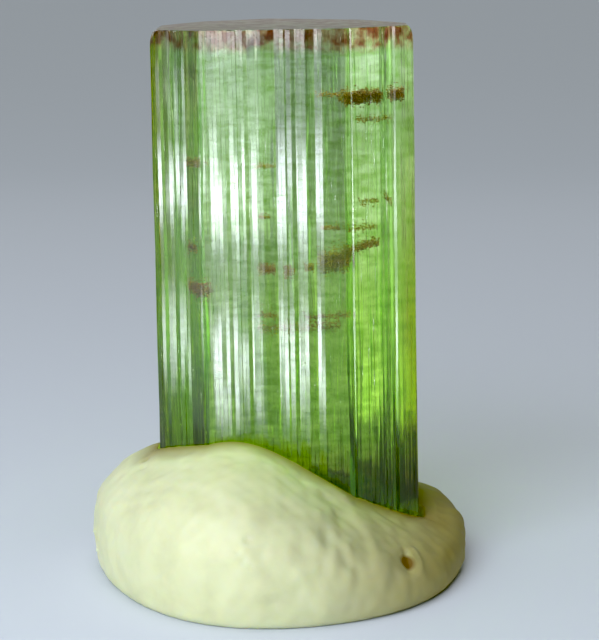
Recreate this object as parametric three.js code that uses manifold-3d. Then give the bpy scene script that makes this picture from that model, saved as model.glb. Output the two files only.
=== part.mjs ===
// A green tourmaline crystal with a thin pink cap, standing in a pressed lump of putty.
// Millimetres, +Z up, +Y away from the viewer. The origin is on the surface that the putty rests on,
// under the middle of the whole object.
import * as THREE from "three";
import { mergeVertices } from "three/addons/utils/BufferGeometryUtils.js";
import Module from "manifold-3d";

const wasm = await Module();
wasm.setup();

// Crystal: sizes along its own axis
const CRYSTAL_LENGTH = 13.15;
const CRYSTAL_LEAN_DEG = 0.95; // the top leans to the left
const CRYSTAL_FOOT_Z = 0.45; // putty left under the crystal's foot

// Crystal: the nine faces of a trigonal prism, each given by the azimuth of its normal and its distance
// from the axis. The wide faces (trigonal prism) lie at 270, 30 and 150 degrees, the narrow ones (hexagonal
// prism) between them. Strips are the widths of the growth steps along a face, in the order of the outline.
const PRISM_FACES = [
  { azimuth: 270, distance: 2.35, strips: [0.45, 0.17, 0.31, 0.3, 0.48, 0.34, 0.16, 0.28, 0.16, 0.2, 0.6] },
  { azimuth: 300, distance: 2.79, strips: [0.3, 0.22, 0.4, 0.28, 0.38, 0.38] },
  { azimuth: 0, distance: 3.2, capped: true },
  { azimuth: 30, distance: 2.55 },
  { azimuth: 60, distance: 2.45 },
  { azimuth: 120, distance: 2.8 },
  { azimuth: 150, distance: 2.85 },
  { azimuth: 180, distance: 3.2, capped: true },
  { azimuth: 240, distance: 3.01, strips: [0.23, 0.23, 0.5, 0.43] },
];
const STRIP_WIDTH = [0.14, 0.46]; // least and most, on the faces whose strips aren't listed
const STEP_DEPTH = 0.05; // how far every second strip lies below its neighbours
const STEP_RISER = 0.012; // half the width of the riser between two strips
const STRIP_TILT_DEG = 4; // most that a strip leans out of its face
const STRIP_SEED = 11;

// Crystal: the steep, narrow facet at the top of each capped face
const CAP_FACET_WIDTH = 0.19;
const CAP_FACET_HEIGHT = 0.46;
const CUTTER_SIZE = 12; // larger than the crystal is wide

// Putty: a rounded pat, high on the left and in front of the crystal, low on the right
const PUTTY_MIDDLE = { x: -0.27, y: -1.1 }; // measured from the crystal's axis
const PUTTY_RADIUS = { left: 4.8, right: 4.76, front: 4.95, back: 4.9 };
const PUTTY_HIGH = { front: 3.66, back: 2.9 }; // height on the left
const PUTTY_LOW = { front: 1.52, back: 1.8 }; // height on the right
const PUTTY_SLOPE = { left: -1.8, right: 3.9, front: -2.6, back: 2.2 }; // where one height runs into another
const PUTTY_WAIST = 0.34; // height of the widest level, as a share of the height there
const PUTTY_FULLNESS = 2.35; // exponent of the section: 2 is an ellipse, more is squarer
const PUTTY_TUCK = 3.2; // how fast the side turns in below the waist, before the flat foot cuts it
const PUTTY_LUMP = { height: 0.07, spread: 0.025 }; // unevenness of the top, and of the radius as a share
const PUTTY_FACETS = { around: 72, up: 42 };
const SOCKET_GAP = 0.1; // between the crystal and the putty that holds it
const SOCKET_ROCK = { azimuth: 0, gap: 0.26 }; // wider on the right, where the crystal was rocked to fix it
const SOCKET_TOP = 2; // how far the socket's cutter reaches over the putty

// Putty: the small pit on its right shoulder
const PIT = { azimuthDeg: -48, latitudeDeg: 25, width: 0.34, height: 0.62, depth: 0.34 };
const PIT_FACETS = 12;

const COLOUR = { tourmaline: 0x6f9f3c, putty: 0xdfe6c0 };

const radians = THREE.MathUtils.degToRad;

// A closed geometry as a solid that can be cut and joined.
function solidOf(geometry) {
  const bare = geometry.clone();
  bare.deleteAttribute("normal");
  bare.deleteAttribute("uv");
  const merged = mergeVertices(bare);
  const vertProperties = new Float32Array(merged.attributes.position.array);
  const triVerts = new Uint32Array(merged.index.array);
  return new wasm.Manifold(new wasm.Mesh({ numProp: 3, vertProperties, triVerts }));
}

// A solid as a geometry with flat faces.
function geometryOf(solid) {
  const mesh = solid.getMesh();
  const indexed = new THREE.BufferGeometry();
  indexed.setAttribute("position", new THREE.BufferAttribute(mesh.vertProperties, mesh.numProp));
  indexed.setIndex(new THREE.BufferAttribute(mesh.triVerts, 1));
  const faceted = indexed.toNonIndexed();
  faceted.computeVertexNormals();
  return faceted;
}

// A repeatable stream of numbers from 0 to 1.
function seededRandom(seed) {
  let state = seed;
  return () => {
    state = (state + 0x6d2b79f5) | 0;
    let mixed = Math.imul(state ^ (state >>> 15), 1 | state);
    mixed = (mixed + Math.imul(mixed ^ (mixed >>> 7), 61 | mixed)) ^ mixed;
    return ((mixed ^ (mixed >>> 14)) >>> 0) / 2 ** 32;
  };
}

function normalOf(face) {
  const angle = radians(face.azimuth);
  return new THREE.Vector2(Math.cos(angle), Math.sin(angle));
}

// The point where the lines of two neighbouring faces meet.
function cornerBetween(face, next) {
  const a = normalOf(face);
  const b = normalOf(next);
  const across = a.cross(b);
  const x = (face.distance * b.y - next.distance * a.y) / across;
  const y = (next.distance * a.x - face.distance * b.x) / across;
  return new THREE.Vector2(x, y);
}

// The corners of a ring of faces. Corner i ends face i and starts face i + 1.
function cornersOf(faces) {
  return faces.map((face, i) => cornerBetween(face, faces[(i + 1) % faces.length]));
}

// Strip widths that fill a face: the listed ones, or ones drawn between the limits, scaled to the length.
function stripWidths(face, length, random) {
  const widths = face.strips ? [...face.strips] : [];
  const [least, most] = STRIP_WIDTH;
  let filled = widths.reduce((sum, width) => sum + width, 0);
  while (!face.strips && filled < length) {
    widths.push(least + (most - least) * random() ** 2);
    filled += widths.at(-1);
  }
  return widths.map((width) => (width * length) / filled);
}

// One face's run of growth steps, from its start corner to its end corner.
function striatedFace(face, start, end, random) {
  const along = end.clone().sub(start);
  const length = along.length();
  along.normalize();
  const inward = normalOf(face).negate();
  const points = [];
  let from = 0;
  stripWidths(face, length, random).forEach((width, i) => {
    const sunk = (i % 2) * STEP_DEPTH;
    const rise = (width / 2) * Math.tan(radians(STRIP_TILT_DEG * (2 * random() - 1)));
    const ends = [
      { at: from + STEP_RISER, depth: sunk + STEP_DEPTH / 2 - rise },
      { at: from + width - STEP_RISER, depth: sunk + STEP_DEPTH / 2 + rise },
    ];
    for (const { at, depth } of ends) {
      points.push(start.clone().addScaledVector(along, at).addScaledVector(inward, depth));
    }
    from += width;
  });
  return points;
}

function striatedOutline() {
  const random = seededRandom(STRIP_SEED);
  const corners = cornersOf(PRISM_FACES);
  const count = corners.length;
  return PRISM_FACES.flatMap((face, i) =>
    striatedFace(face, corners[(i + count - 1) % count], corners[i], random),
  );
}

// A block whose inner side is the cap facet over one prism face.
function capFacetCutter(face) {
  const out = normalOf(face);
  const normal = new THREE.Vector3(out.x * CAP_FACET_HEIGHT, out.y * CAP_FACET_HEIGHT, CAP_FACET_WIDTH);
  normal.normalize();
  const edge = face.distance - CAP_FACET_WIDTH;
  const block = new THREE.Object3D();
  block.up.set(0, 0, 1);
  block.lookAt(normal);
  block.position.set(out.x * edge, out.y * edge, CRYSTAL_LENGTH).addScaledVector(normal, CUTTER_SIZE / 2);
  block.updateMatrix();
  return new THREE.BoxGeometry(CUTTER_SIZE, CUTTER_SIZE, CUTTER_SIZE).applyMatrix4(block.matrix);
}

function crystalGeometry() {
  const outline = new THREE.Shape(striatedOutline());
  const prism = new THREE.ExtrudeGeometry(outline, { depth: CRYSTAL_LENGTH, bevelEnabled: false });
  const cutters = PRISM_FACES.filter((face) => face.capped).map((face) => solidOf(capFacetCutter(face)));
  return geometryOf(cutters.reduce((solid, cutter) => solid.subtract(cutter), solidOf(prism)));
}

// The pose of the crystal, and of the socket that holds it.
function standCrystal(object) {
  object.position.set(0, 0, CRYSTAL_FOOT_Z);
  object.rotation.set(0, -radians(CRYSTAL_LEAN_DEG), 0);
  object.updateMatrix();
  return object;
}

// The putty's radius in plan: four quarter ellipses, with a slow unevenness around them.
function puttyRadius(azimuth) {
  const across = Math.cos(azimuth) < 0 ? PUTTY_RADIUS.left : PUTTY_RADIUS.right;
  const along = Math.sin(azimuth) < 0 ? PUTTY_RADIUS.front : PUTTY_RADIUS.back;
  const ellipse = 1 / Math.hypot(Math.cos(azimuth) / across, Math.sin(azimuth) / along);
  const uneven = Math.sin(3 * azimuth + 0.6) * 0.6 + Math.sin(5 * azimuth - 1.1) * 0.4;
  return ellipse * (1 + PUTTY_LUMP.spread * uneven);
}

// The putty's height over a point of the plan: it falls away from the front left in smooth curves.
function puttyHeight(x, y) {
  const { lerp, smoothstep } = THREE.MathUtils;
  const toBack = smoothstep(y, PUTTY_SLOPE.front, PUTTY_SLOPE.back);
  const high = lerp(PUTTY_HIGH.front, PUTTY_HIGH.back, toBack);
  const low = lerp(PUTTY_LOW.front, PUTTY_LOW.back, toBack);
  const uneven = Math.sin(1.5 * x + 0.4) * Math.cos(1.2 * y + 0.8);
  return lerp(high, low, smoothstep(x, PUTTY_SLOPE.left, PUTTY_SLOPE.right)) + PUTTY_LUMP.height * uneven;
}

// The point of the putty's surface that lies in a direction from its middle.
function puttySurface(azimuth, latitude) {
  const power = 2 / PUTTY_FULLNESS;
  const reach = puttyRadius(azimuth) * Math.abs(Math.cos(latitude)) ** power;
  const lift = Math.sign(latitude) * Math.abs(Math.sin(latitude)) ** power;
  const x = PUTTY_MIDDLE.x + reach * Math.cos(azimuth);
  const y = PUTTY_MIDDLE.y + reach * Math.sin(azimuth);
  const height = puttyHeight(x, y);
  const waist = PUTTY_WAIST * height;
  const z = lift > 0 ? waist + lift * (height - waist) : Math.max(0, waist * (1 + lift * PUTTY_TUCK));
  return new THREE.Vector3(x, y, z);
}

function lumpGeometry() {
  const ball = new THREE.SphereGeometry(1, PUTTY_FACETS.around, PUTTY_FACETS.up).rotateX(Math.PI / 2);
  const place = ball.attributes.position;
  const point = new THREE.Vector3();
  for (let i = 0; i < place.count; i += 1) {
    point.fromBufferAttribute(place, i);
    const latitude = Math.asin(THREE.MathUtils.clamp(point.z, -1, 1));
    place.setXYZ(i, ...puttySurface(Math.atan2(point.y, point.x), latitude));
  }
  return ball;
}

function socketCutter() {
  const gapAt = (face) => (face.azimuth === SOCKET_ROCK.azimuth ? SOCKET_ROCK.gap : SOCKET_GAP);
  const walls = PRISM_FACES.map((face) => ({ ...face, distance: face.distance + gapAt(face) }));
  const outline = new THREE.Shape(cornersOf(walls));
  const depth = PUTTY_HIGH.front + SOCKET_TOP;
  const socket = new THREE.ExtrudeGeometry(outline, { depth, bevelEnabled: false });
  socket.translate(0, 0, -SOCKET_GAP);
  return socket.applyMatrix4(standCrystal(new THREE.Object3D()).matrix);
}

function pitCutter() {
  const azimuth = radians(PIT.azimuthDeg);
  const mouth = puttySurface(azimuth, radians(PIT.latitudeDeg));
  const pit = new THREE.SphereGeometry(0.5, PIT_FACETS, PIT_FACETS);
  pit.scale(2 * PIT.depth, PIT.width, PIT.height);
  pit.rotateZ(azimuth);
  return pit.translate(mouth.x, mouth.y, mouth.z);
}

function puttyGeometry() {
  const lump = solidOf(lumpGeometry());
  return geometryOf(lump.subtract(solidOf(socketCutter())).subtract(solidOf(pitCutter())));
}

function tourmalineCrystal() {
  const looks = { color: COLOUR.tourmaline, roughness: 0.08, metalness: 0 };
  const crystal = new THREE.Mesh(crystalGeometry(), new THREE.MeshStandardMaterial(looks));
  crystal.name = "tourmaline_crystal";
  return standCrystal(crystal);
}

function puttyLump() {
  const looks = { color: COLOUR.putty, roughness: 0.75, metalness: 0 };
  const putty = new THREE.Mesh(puttyGeometry(), new THREE.MeshStandardMaterial(looks));
  putty.name = "putty_lump";
  return putty;
}

// The whole object, moved so that the origin lies under the middle of its box.
const specimen = new THREE.Group();
specimen.add(tourmalineCrystal(), puttyLump());
const middle = new THREE.Box3().setFromObject(specimen, true).getCenter(new THREE.Vector3());
specimen.position.set(-middle.x, -middle.y, 0);

export default specimen;
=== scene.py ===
# %% [markdown]
# # A green tourmaline crystal in a lump of putty
# A mineral specimen about 13 mm tall: a clear green prism with a thin pink cap, standing in a pea of pale
# putty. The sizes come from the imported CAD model, which is called the frame. This script makes a finer
# mesh of each piece, gives it its finish, and adds the floor, the light and the camera.

import math

import bmesh
import bpy
import numpy as np
from mathutils import Matrix, Vector


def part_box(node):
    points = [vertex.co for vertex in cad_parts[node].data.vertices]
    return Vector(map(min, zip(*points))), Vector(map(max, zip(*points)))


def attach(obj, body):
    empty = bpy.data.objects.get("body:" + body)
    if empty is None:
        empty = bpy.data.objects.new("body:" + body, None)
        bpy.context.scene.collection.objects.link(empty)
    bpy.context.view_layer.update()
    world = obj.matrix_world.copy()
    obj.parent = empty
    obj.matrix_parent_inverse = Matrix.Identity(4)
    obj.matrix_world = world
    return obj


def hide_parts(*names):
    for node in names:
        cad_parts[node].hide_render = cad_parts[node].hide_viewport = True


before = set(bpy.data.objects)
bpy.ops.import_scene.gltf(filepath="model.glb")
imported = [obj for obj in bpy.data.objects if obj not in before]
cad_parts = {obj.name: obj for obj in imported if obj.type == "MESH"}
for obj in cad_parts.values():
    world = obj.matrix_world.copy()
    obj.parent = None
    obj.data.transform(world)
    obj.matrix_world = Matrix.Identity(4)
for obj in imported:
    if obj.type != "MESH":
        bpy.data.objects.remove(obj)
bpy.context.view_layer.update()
MM = 0.001  # Blender works in metres, and the sizes below are in millimetres

# %% [markdown]
# ## The crystal's cross-section
# Tourmaline grows as a three-sided prism whose sides are doubled by narrower faces, nine in all. The
# section could be drawn as a list of corner points. Here each face is given by the direction of its
# normal and its distance from the axis, and neighbouring faces are cut with each other to find the
# corners. That is how a mineralogist would measure it, and it keeps the true angles.

# %% Prism faces
PRISM_FACES = {
    270: 2.35, 300: 2.79, 0: 3.2, 30: 2.55, 60: 2.45, 120: 2.8, 150: 2.85, 180: 3.2, 240: 3.01,
}  # azimuth of the face's normal in degrees, and its distance from the axis in mm
LEFT, LEFT_FRONT, FRONT, RIGHT_FRONT, RIGHT = 180, 240, 270, 300, 0  # the faces at the front and the sides


def direction(azimuth):
    return np.array([math.cos(math.radians(azimuth)), math.sin(math.radians(azimuth))])


def corner(one, other):
    normals = np.array([direction(one), direction(other)])
    return np.linalg.solve(normals, [PRISM_FACES[one], PRISM_FACES[other]])


azimuths = list(PRISM_FACES)
corners = [corner(one, other) for one, other in zip(azimuths, azimuths[1:] + azimuths[:1])]
print("corners of the prism, mm:", np.round(corners, 2).tolist())

# %% [markdown]
# ## Where the crystal stands
# The crystal leans by about one degree, and its foot is hidden in the putty. Its place could be typed in,
# but it is read from the box of the CAD solid, so that it follows the frame. The matrix turns points in
# millimetres on the crystal's own axes into metres in the scene.

# %% Stand the crystal in the frame
CRYSTAL_LENGTH = 13.15
CRYSTAL_LEAN = math.radians(0.95)
CRYSTAL_FOOT = 0.45  # mm above the floor
STEP_DEPTH = 0.05  # mm, depth of the growth steps in the CAD outline

crystal_low, crystal_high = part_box("tourmaline_crystal")
axis_foot = np.array([
    crystal_high.x / MM - PRISM_FACES[RIGHT] + STEP_DEPTH / 2,
    crystal_low.y / MM + PRISM_FACES[FRONT] - STEP_DEPTH / 2,
])
stand = (
    Matrix.Translation(Vector((*axis_foot, CRYSTAL_FOOT)) * MM)
    @ Matrix.Rotation(-CRYSTAL_LEAN, 4, "Y")
    @ Matrix.Scale(MM, 4)
)
print("axis of the crystal at", axis_foot.round(3), "mm")

# %% [markdown]
# ## Striations
# The sides are covered with lengthwise steps, where two kinds of face took turns while the crystal grew.
# Each step leans a few degrees out of its face, so that some mirror the light and others are windows into
# the green inside. A bump map would bend only the reflections. Real steps in the mesh also break up what
# is seen through the crystal, so they are modelled. On the front the widths and leans are chosen strip by
# strip, and elsewhere they are drawn from a seeded generator.

# %% Strips on each face
FRONT_STRIPS = {
    LEFT_FRONT: [
        (0.17, -24), (0.1, 18), (0.1, 3), (0.12, 16.5), (0.1, 17.5), (0.05, 14), (0.08, 4), (0.28, 16),
        (0.34, 1), (0.06, 17), (0.06, 2),
    ],
    FRONT: [
        (0.14, 1.5), (0.23, -5), (0.1, -2.5), (0.1, -5.5), (0.09, 1.5), (0.11, -6), (0.09, -3.5),
        (0.17, -7), (0.09, 1.5), (0.2, -7.5), (0.14, -5), (0.26, 1), (0.06, 2.5), (0.13, -9), (0.1, -9.5),
        (0.04, 2), (0.12, -10), (0.1, 1.5), (0.25, -10.5), (0.21, 1.5), (0.19, -11.5), (0.58, 1),
    ],
    RIGHT_FRONT: [
        (0.1, -11), (0.05, -46), (0.24, -12), (0.18, -13.5), (0.22, -15), (0.12, -11.5), (0.24, -14),
        (0.12, 0), (0.07, -47.5), (0.12, -12), (0.1, -15), (0.12, -11), (0.2, -13),
    ],
}  # width in mm and lean in degrees, from left to right
STRIP_WIDTH = (0.12, 0.45)  # mm, on the faces whose strips aren't listed
STRIP_LEAN = 1.5  # degrees, on the same faces

rng = np.random.default_rng(7)


def strips_of(azimuth, length):
    strips = FRONT_STRIPS.get(azimuth)
    if strips is None:
        strips = []
        while sum(w for w, _ in strips) < length:
            strips.append((rng.uniform(*STRIP_WIDTH), rng.normal(0, STRIP_LEAN)))
    total = sum(w for w, _ in strips)
    return [(w * length / total, lean) for w, lean in strips]


print("strips listed on the front:", {azimuth: len(strips) for azimuth, strips in FRONT_STRIPS.items()})

# %% [markdown]
# ## Fine steps
# Striations come in many sizes, so each strip has still finer steps, which spread its mirror image into a
# bundle of thin lines. Every strip is divided into uneven steps that lean a little out of it. The clear
# windows, which hardly lean, get smoother steps, so that the eye can look in.

# %% Divide the strips
FINE_WIDTH = 0.085  # mm
FINE_SHARES = (0.5, 1.5)  # how uneven the widths are
FINE_LEAN = {LEFT_FRONT: 1.2, FRONT: 1.3}  # degrees, out of the strip
FINE_LEAN_ELSEWHERE = 0.6
WINDOW_LEAN = 3  # degrees; a strip that leans less is a window
RISER = 0.004  # mm, half the width of the riser between two steps
SINK = 0.4  # share of the step depth by which strips lie higher or lower


def fine_steps(azimuth, width, lean):
    count = max(1, round(width / FINE_WIDTH))
    shares = rng.uniform(*FINE_SHARES, count)
    window = abs(lean) < WINDOW_LEAN
    uneven = FINE_LEAN_ELSEWHERE if window else FINE_LEAN.get(azimuth, FINE_LEAN_ELSEWHERE)
    leans = lean + rng.normal(0, uneven, count)
    return zip(shares / shares.sum() * width, leans)


def striated_side(azimuth, start, end):
    """A row for each step: its middle, the ways along and out, half its width, lean, azimuth."""
    length = np.linalg.norm(end - start)
    along, out = (end - start) / length, direction(azimuth)
    rows, at = [], 0.0
    for width, lean in strips_of(azimuth, length):
        sunk = STEP_DEPTH / 2 + rng.uniform(-SINK, SINK) * STEP_DEPTH
        middle = at + width / 2
        for step, step_lean in fine_steps(azimuth, width, lean):
            here = at + step / 2
            level = sunk + (here - middle) * math.tan(math.radians(lean))
            place = start + along * here - out * level
            rows.append([*place, *along, *out, step / 2 - RISER, step_lean, azimuth])
            at += step
    return rows


steps = np.array([
    row for i, azimuth in enumerate(azimuths) for row in striated_side(azimuth, corners[i - 1], corners[i])
])
middles, alongs, outs = steps[:, :2], steps[:, 2:4], steps[:, 4:6]
halves, leans, step_azimuths = steps[:, 6:7], steps[:, 7:8], steps[:, 8]
print("growth steps round the crystal:", len(steps))

# %% [markdown]
# ## The flat end
# The top is a flat face. At the two sides a small facet slopes in to it, and the other edges are only a
# little worn. A bevel modifier would treat all edges alike, so each face gets its own sloping plane, and
# the points of the top rings are kept under the lowest of them.

# %% Slopes round the top
CAP_FACET = {RIGHT: (0.19, 0.46), LEFT: (0.19, 0.46)}  # width, height in mm
CAP_EDGE = (0.03, 0.03)  # the worn edge of the other faces
CLIP_ROUNDS = 8  # enough for points near a corner, where two planes cut


def cap_planes():
    for azimuth, distance in PRISM_FACES.items():
        wide, high = CAP_FACET.get(azimuth, CAP_EDGE)
        yield direction(azimuth), distance - wide, high / wide


def top_heights(flat):
    drop = [np.maximum(flat @ out - edge, 0) * steep for out, edge, steep in cap_planes()]
    return CRYSTAL_LENGTH - np.max(drop, axis=0)


def flat_end(flat):
    inner = flat.copy()
    for _ in range(CLIP_ROUNDS):
        for out, edge, _ in cap_planes():
            inner -= np.maximum(inner @ out - edge, 0)[:, None] * out
    return inner


print("lowest corner of the top:", top_heights(np.array(corners)).min().round(2), "mm above the foot")

# %% [markdown]
# ## Flare and corners
# The prism is a tenth of a millimetre stouter at its foot than at its top. Where two faces meet, the last
# step of one and the first step of the next can overlap once they lean, which would show as a dark wavy
# line in the clear crystal. Both are therefore cut where their lines cross.

# %% Flare the sides and trim the corners
FLARE = (0.11, 0.012)  # mm by which the sides stand out further at the foot, and at the top
TRIM_LOW, TRIM_HIGH = (0.3, -0.6), (1.6, 0.7)  # on the last and the first step, in step widths
CORNER_GAP = 0.01  # step widths left open on each side of the cut


def flare(height):
    return FLARE[0] + (FLARE[1] - FLARE[0]) * height / CRYSTAL_LENGTH


def trim_corners(edges):
    for last in np.flatnonzero(step_azimuths != np.roll(step_azimuths, -1)):
        first = (last + 1) % len(edges)
        (a, b), (c, d) = edges[last], edges[first]
        shares = np.linalg.solve(np.column_stack([b - a, c - d]), c - a)
        to_last, to_first = np.clip(shares, TRIM_LOW, TRIM_HIGH)
        edges[last, 1] = a + (b - a) * (to_last - CORNER_GAP)
        edges[first, 0] = c + (d - c) * (to_first + CORNER_GAP)


print("flare at mid-height:", round(flare(CRYSTAL_LENGTH / 2), 3), "mm")

# %% [markdown]
# ## The prism
# The steps are stacked in levels from foot to top. A plain extrusion would give dead straight streaks of
# light. So each step wavers by hundredths of a millimetre and twists by a degree or so along its length,
# as growth steps do, which makes the streaks swell and taper. The top rings round over to the flat end.

# %% Shape the levels
LEVELS = 90
WAVER, WAVER_PACE = 0.02, (0.6, 1.4)  # mm in and out, and radians to the mm along the crystal
RIPPLE, RIPPLE_PACE = 0.0008, (5, 12)  # a finer wave
TWIST = {LEFT_FRONT: 1.6, FRONT: 1.7, RIGHT_FRONT: 0.5}  # degrees, about the step's own middle line
TWIST_ELSEWHERE = 0.3
TWIST_PACE, SHORT_TWIST_PACE, SHORT_TWIST = (0.5, 1.3), (1.5, 3), 0.4
CAP_TURNS = (20, 40, 60, 75, 90)  # degrees: the edges round over in these rings


def slow_wave(z, paces):
    each = (len(steps), 1)
    pace, phase = rng.uniform(*paces, each), rng.uniform(0, 2 * math.pi, each)
    return np.sin(pace * z + phase)


def prism_rings():
    heights = np.linspace(0, CRYSTAL_LENGTH, LEVELS)
    push = WAVER * (slow_wave(heights, WAVER_PACE) - 1) / 2
    push = push + RIPPLE * (slow_wave(heights, RIPPLE_PACE) - 1) / 2 + flare(heights)
    most = np.array([[TWIST.get(int(azimuth), TWIST_ELSEWHERE)] for azimuth in step_azimuths])
    twist = most * (slow_wave(heights, TWIST_PACE) + SHORT_TWIST * slow_wave(heights, SHORT_TWIST_PACE))
    for level, height in enumerate(heights):
        rise = outs * np.tan(np.radians(leans + twist[:, level : level + 1])) * halves
        centre, reach = middles + outs * push[:, level : level + 1], alongs * halves
        edges = np.stack([centre - reach + rise, centre + reach - rise], 1)
        trim_corners(edges)
        ring = edges.reshape(-1, 2)
        yield np.column_stack([ring, top_heights(ring) * height / CRYSTAL_LENGTH])
    inner, side_top = flat_end(ring), top_heights(ring)
    for turn in np.radians(CAP_TURNS):
        flat = ring + (inner - ring) * (1 - math.cos(turn))
        yield np.column_stack([flat, side_top + (CRYSTAL_LENGTH - side_top) * math.sin(turn)])


def faces_between(rings):
    count = len(rings[0])
    faces = [
        (r * count + i, r * count + (i + 1) % count, (r + 1) * count + (i + 1) % count, (r + 1) * count + i)
        for r in range(len(rings) - 1)
        for i in range(count)
    ]
    faces.append(tuple(reversed(range(count))))
    faces.append(tuple(range((len(rings) - 1) * count, len(rings) * count)))
    return faces


rings = list(prism_rings())
crystal_points = np.concatenate(rings)
print("rings:", len(rings), "points:", len(crystal_points))

# %% [markdown]
# ## The crystal's mesh
# Smooth shading would blur the steps into each other, and flat shading would show the levels as bands.
# Edges that run up the crystal and round its ends are therefore marked sharp and the others stay smooth,
# so that every step shades as one long face.

# %% Make the crystal
UPRIGHT = 0.9  # rise of an edge that counts as running up the crystal
LEVEL = 0.99  # rise of the normal of a face that counts as an end
SHARP_TURN = 0.5  # radians between two faces


def piece(name, points, faces):
    mesh = bpy.data.meshes.new(name)
    mesh.from_pydata(np.asarray(points).tolist(), [], faces)
    mesh.update()
    made = bpy.data.objects.new(name, mesh)
    bpy.context.scene.collection.objects.link(made)
    return made


def mark_steps_sharp(mesh):
    bm = bmesh.new()
    bm.from_mesh(mesh)
    for face in bm.faces:
        face.smooth = True
    for edge in bm.edges:
        a, b = (v.co for v in edge.verts)
        upright = abs((a - b).normalized().z) > UPRIGHT
        at_end = any(abs(face.normal.z) > LEVEL for face in edge.link_faces)
        edge.smooth = not upright and not at_end and edge.calc_face_angle(0) < SHARP_TURN
    open_edges = sum(len(e.link_faces) != 2 for e in bm.edges)
    bm.to_mesh(mesh)
    bm.free()
    return open_edges


crystal = piece("crystal", crystal_points, faces_between(rings))
open_edges = mark_steps_sharp(crystal.data)
print("crystal faces:", len(crystal.data.polygons), "open edges:", open_edges)

# %% [markdown]
# ## Painted shade on the edges, and staining on one strip
# The brown along the two side edges is partly a film and partly painted shade: it is strongest low on the
# right, where the foot stands in shadow, and high on the left, where the edge looks dark. One strip of the
# left front face carries real brown staining. All of it is only colour, so it isn't modelled. How strong it
# is at each point is stored on the mesh as an attribute, which the finish reads later. An attribute moves
# with the mesh, and needs no image.

# %% Store the painted edge shade and the staining on the crystal
RIGHT_EDGE, LEFT_EDGE, LEFT_FRONT_EDGE = 1, 7, 8  # places in the list of corners
SHADED_EDGES = {RIGHT_EDGE: (1.0, 0.25), LEFT_EDGE: (0.75, 1.0)}  # how strong the brown painted shade is low down, and at the top
EDGE_SHADE_CHANGE = (6, 12)  # mm above the foot, where the one turns to the other
EDGE_SHADE = 0.6  # mm
EDGE_SHADE_CORE = 1.3  # over 1, so that the painted shade is full for a little way from the edge
STAINED_STRIP = (0.99, 1.36)  # mm from the left edge, along the left front face
STRIP_STAIN = 0.8
STRIP_DEPTH = 0.2  # mm; points further in belong to other faces


# Brown painted as shade along the two side edges, plus real staining on one strip.
def edge_shade_and_stain_at(points):
    low_end, high_end = EDGE_SHADE_CHANGE
    rise = np.clip((points[:, 2] - low_end) / (high_end - low_end), 0, 1)
    near = []
    for i, (low, high) in SHADED_EDGES.items():
        away = np.linalg.norm(points[:, :2] - corners[i], axis=1)
        near.append((low + (high - low) * rise) * np.clip(EDGE_SHADE_CORE - away / EDGE_SHADE, 0, 1))
    flat, along = points[:, :2] - corners[LEFT_EDGE], corners[LEFT_FRONT_EDGE] - corners[LEFT_EDGE]
    reach = flat @ along / np.linalg.norm(along)
    on_face = flat @ direction(LEFT_FRONT) > -STRIP_DEPTH
    in_strip = (reach > STAINED_STRIP[0]) & (reach < STAINED_STRIP[1]) & on_face
    return np.max([*near, STRIP_STAIN * in_strip], axis=0)


shade_and_stain = edge_shade_and_stain_at(crystal_points)
crystal.data.attributes.new("edge_shade_and_stain", "FLOAT", "POINT").data.foreach_set("value", shade_and_stain)
crystal.data.transform(stand)
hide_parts("tourmaline_crystal")
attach(crystal, "root")
print("stained share of the crystal's points:", round(float((shade_and_stain > 0).mean()), 3))

# %% [markdown]
# ## Healed cracks
# The dark bands across the crystal are old cracks that grew shut and trapped a film of brown matter. They
# could be painted on the faces, but they lie a little inside. So each is made as a drift of tiny specks,
# and the striations break it up as they do in the real crystal. A speck is an eight-sided grain, wider
# than it is high. Real grains are often finer, and are drawn coarser here to keep the mesh small.

# %% Scatter the specks
HEALED_CRACKS = [
    (0.8, 11.6, 1.4, 11.56, 0.03, 14), (1.5, 11.5, 2.4, 11.49, 0.08, 260),
    (2.58, 11.5, 2.95, 11.5, 0.08, 100),
    (1.8, 10.96, 2.7, 10.93, 0.04, 24), (1.85, 8.94, 2.3, 8.95, 0.04, 16), (2.5, 9.05, 2.6, 8.85, 0.05, 16),
    (0.9, 8.38, 1.33, 8.38, 0.03, 18), (1.55, 8.31, 2.25, 8.33, 0.03, 26), (1.5, 7.8, 2.3, 7.95, 0.05, 90),
    (0.85, 7.5, 1.5, 7.62, 0.13, 260), (-0.66, 7.38, -0.26, 7.38, 0.06, 50),
    (-0.02, 7.32, 0.2, 7.3, 0.08, 30),
    (0.48, 7.4, 0.68, 7.42, 0.05, 22), (-2.42, 6.98, -1.95, 6.8, 0.09, 90),
    (-2.4, 7.92, -2.15, 7.9, 0.06, 26),
    (-2.42, 10.0, -2.06, 9.96, 0.05, 26), (-0.7, 9.89, -0.22, 9.89, 0.02, 14),
    (-0.66, 8.67, -0.3, 8.66, 0.02, 12), (-0.7, 6.23, -0.22, 6.23, 0.03, 16),
    (0.48, 6.18, 1.5, 6.2, 0.03, 30),
    (-0.7, 5.92, 1.3, 5.95, 0.07, 90),
]  # from x, z to x, z on the axes of the crystal, spread, all in mm, and a count
SPECKS_TO_A_COUNT = 8
CRACK_DEPTH = (0.12, 0.3)  # mm inside the face: the least, and the mean beyond that
SIDE_SLANT, SIDE_FACES = 0.2, (-1.95, 1.5)  # beyond these x in mm, deeper specks lie further in
SPECK_SIZE = (0.007, 0.022)  # radius in mm
SPECK_UNEVEN = (0.6, 1.4)
SPECK_CORNERS = np.array([(1.6, 0, 0), (-1.6, 0, 0), (0, 1.6, 0), (0, -1.6, 0), (0, 0, 0.8), (0, 0, -0.8)])
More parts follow.
